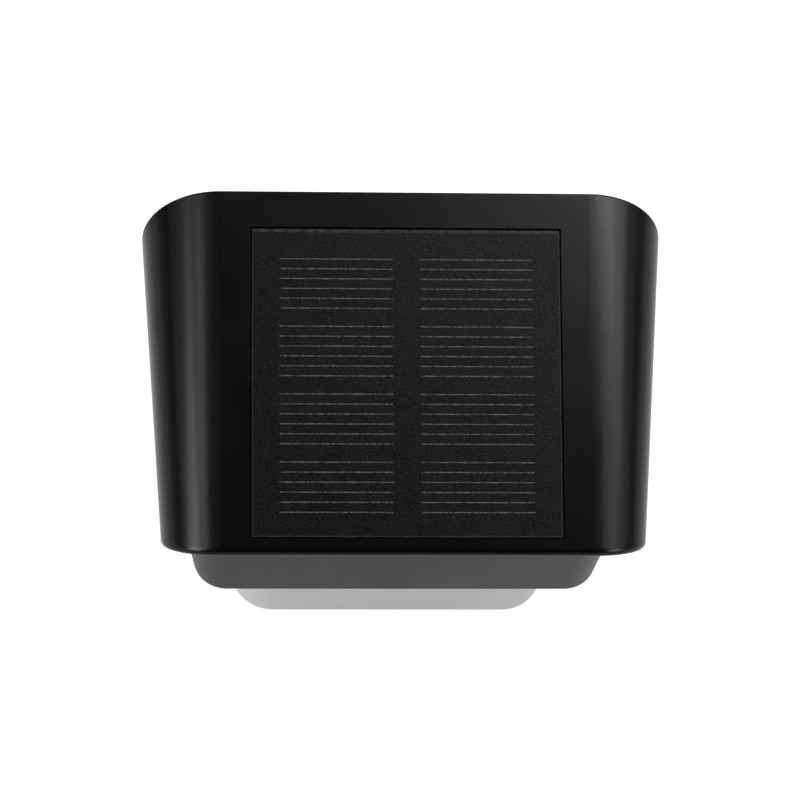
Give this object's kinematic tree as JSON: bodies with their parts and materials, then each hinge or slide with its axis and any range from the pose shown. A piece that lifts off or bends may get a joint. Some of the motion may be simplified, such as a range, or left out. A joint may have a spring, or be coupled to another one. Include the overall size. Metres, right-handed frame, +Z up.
{
  "type": "fence light",
  "caption": "Solar fence light: a sloping round-shouldered hood with a solar panel, a tapered lamp body and an opal cup under it, hung on a small wall bracket.",
  "frame": {"origin": "on the fence's face, midway between the bracket's two screw holes", "axes": "+X to the right seen from the front, -Y out from the fence, +Z up"},
  "size_m": [0.1202, 0.0761, 0.1089],
  "materials": {
    "hood_black": "semi-gloss moulded black",
    "film_black": "matte fine-grained black film",
    "finger_silver": "thin printed silver",
    "cell_blue": "dark silicon",
    "clear_layer": "milky encapsulant",
    "circuit_green": "solder-masked glass fibre",
    "foam_tape": "closed-cell foam",
    "body_grey": "satin moulded dark grey",
    "seal_grey": "soft silicone",
    "opal": "smooth opal white",
    "white_plastic": "moulded white",
    "zinc_steel": "zinc plated",
    "led_yellow": "phosphor",
    "cell_wrap": "shrink wrap",
    "contact_nickel": "nickel plated strip",
    "chip_black": "moulded epoxy",
    "ferrite": "pressed ferrite",
    "capacitor_can": "drawn can",
    "socket_white": "moulded nylon",
    "lead_red": "vinyl insulation",
    "button_rubber": "moulded rubber",
    "board_white": "white solder mask on aluminium",
    "bracket_black": "powder coat"
  },
  "bodies": {
    "bracket": {"wall_bracket": "bracket_black"},
    "light": {"hood": "hood_black", "panel_film": "film_black", "grid_lines": "finger_silver", "solar_cells": "cell_blue", "panel_encapsulant": "clear_layer", "panel_backing": "circuit_green", "panel_tape": "foam_tape", "panel_leads": "lead_red", "lamp_body": "body_grey", "body_gasket": "seal_grey", "body_screws": "zinc_steel", "diffuser": "opal", "diffuser_gasket": "seal_grey", "reflector": "white_plastic", "reflector_screws": "zinc_steel", "led_board": "board_white", "led_chips": "led_yellow", "led_board_screws": "zinc_steel", "led_leads": "lead_red", "battery_tray": "chip_black", "battery_cell": "cell_wrap", "battery_contacts": "contact_nickel", "battery_leads": "lead_red", "tray_screws": "zinc_steel", "control_board": "circuit_green", "board_screws": "zinc_steel", "lead_sockets": "socket_white", "control_chips": "chip_black", "power_inductor": "ferrite", "capacitors": "capacitor_can", "switch_seal": "seal_grey", "switch_housing": "chip_black", "switch_leads": "lead_red"},
    "button": {"switch_button": "button_rubber"}
  },
  "joints": [
    {"name": "lift_off", "type": "slide", "parent": "bracket", "child": "light", "axis": [0, 0, 1], "range_m": [0, 0.0158]},
    {"name": "button_press", "type": "slide", "parent": "light", "child": "button", "axis": [0, -1, 0], "range_m": [0, 0.0015], "stiffness_N_per_m": 300, "springref_m": -0.002}
  ]
}
